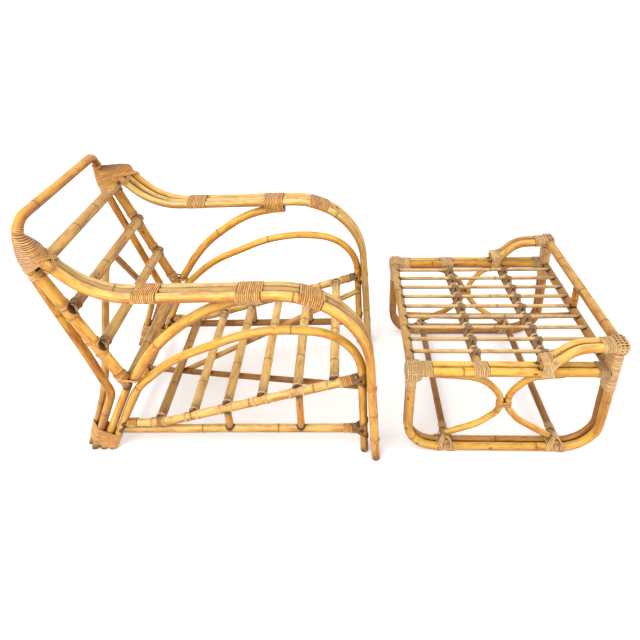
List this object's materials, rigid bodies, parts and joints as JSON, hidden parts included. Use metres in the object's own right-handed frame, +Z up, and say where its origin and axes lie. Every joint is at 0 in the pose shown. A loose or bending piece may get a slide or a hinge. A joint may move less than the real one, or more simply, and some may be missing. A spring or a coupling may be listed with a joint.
{
  "type": "rattan lounge chair with ottoman",
  "caption": "Lounge chair and loose ottoman of bent, varnished rattan poles bound with cane, used together as a chaise longue.",
  "frame": {"origin": "on the floor, in the middle of the ground that chair and ottoman cover", "axes": "+X from the chair's back towards the ottoman, +Y to the sitter's left, +Z up"},
  "size_m": [1.8505, 0.796, 0.9081],
  "materials": {
    "honey_rattan": "varnished",
    "amber_rattan": "varnished",
    "tan_rattan": "satin",
    "cane_binding": "satin"
  },
  "bodies": {
    "chair": {"back_hoop": "honey_rattan", "back_post_right": "amber_rattan", "back_post_left": "amber_rattan", "back_pole_low": "tan_rattan", "back_pole_middle": "tan_rattan", "back_pole_top": "tan_rattan", "seat_rear_pole": "amber_rattan", "rear_arch": "amber_rattan", "arm_outer_right": "honey_rattan", "arm_middle_right": "tan_rattan", "arm_inner_right": "tan_rattan", "arm_outer_left": "honey_rattan", "arm_middle_left": "tan_rattan", "arm_inner_left": "tan_rattan", "upper_arch_right": "honey_rattan", "upper_arch_left": "honey_rattan", "lower_arch_right": "honey_rattan", "lower_arch_left": "honey_rattan", "rear_leg_right": "amber_rattan", "rear_leg_left": "amber_rattan", "seat_rail_right": "honey_rattan", "seat_rail_left": "honey_rattan", "floor_rail_right": "amber_rattan", "floor_rail_left": "amber_rattan", "spacer_posts": "amber_rattan", "seat_slats": "tan_rattan", "rear_stretcher": "amber_rattan", "long_brace": "amber_rattan", "branch_brace": "amber_rattan", "corner_bindings": "cane_binding", "arm_bindings": "cane_binding", "foot_bindings": "cane_binding", "joint_bindings": "cane_binding", "rail_bindings": "cane_binding", "slat_straps": "cane_binding", "back_pole_straps": "cane_binding", "front_leg_straps": "cane_binding"},
    "ottoman": {"ottoman_loop_outer_right": "honey_rattan", "ottoman_loop_inner_right": "amber_rattan", "ottoman_loop_outer_left": "honey_rattan", "ottoman_loop_inner_left": "amber_rattan", "ottoman_side_rails_right": "honey_rattan", "ottoman_side_rails_left": "honey_rattan", "ottoman_rear_rail": "tan_rattan", "ottoman_front_rail": "tan_rattan", "ottoman_raised_rail": "tan_rattan", "ottoman_raised_arms": "honey_rattan", "ottoman_middle_post": "amber_rattan", "ottoman_scrolls_right": "amber_rattan", "ottoman_scrolls_left": "amber_rattan", "ottoman_floor_stretchers": "tan_rattan", "ottoman_deck_poles": "amber_rattan", "ottoman_deck_brace": "amber_rattan", "ottoman_deck_rods": "tan_rattan", "ottoman_corner_bindings": "cane_binding", "ottoman_arm_bindings": "cane_binding", "ottoman_runner_bindings": "cane_binding", "ottoman_scroll_ties": "cane_binding", "ottoman_deck_lashings": "cane_binding", "ottoman_rail_bindings": "cane_binding"}
  },
  "joints": [
    {"name": "ottoman_slide", "type": "slide", "parent": "chair", "child": "ottoman", "axis": [1, 0, 0], "range_m": [-0.06, 0.4]}
  ]
}
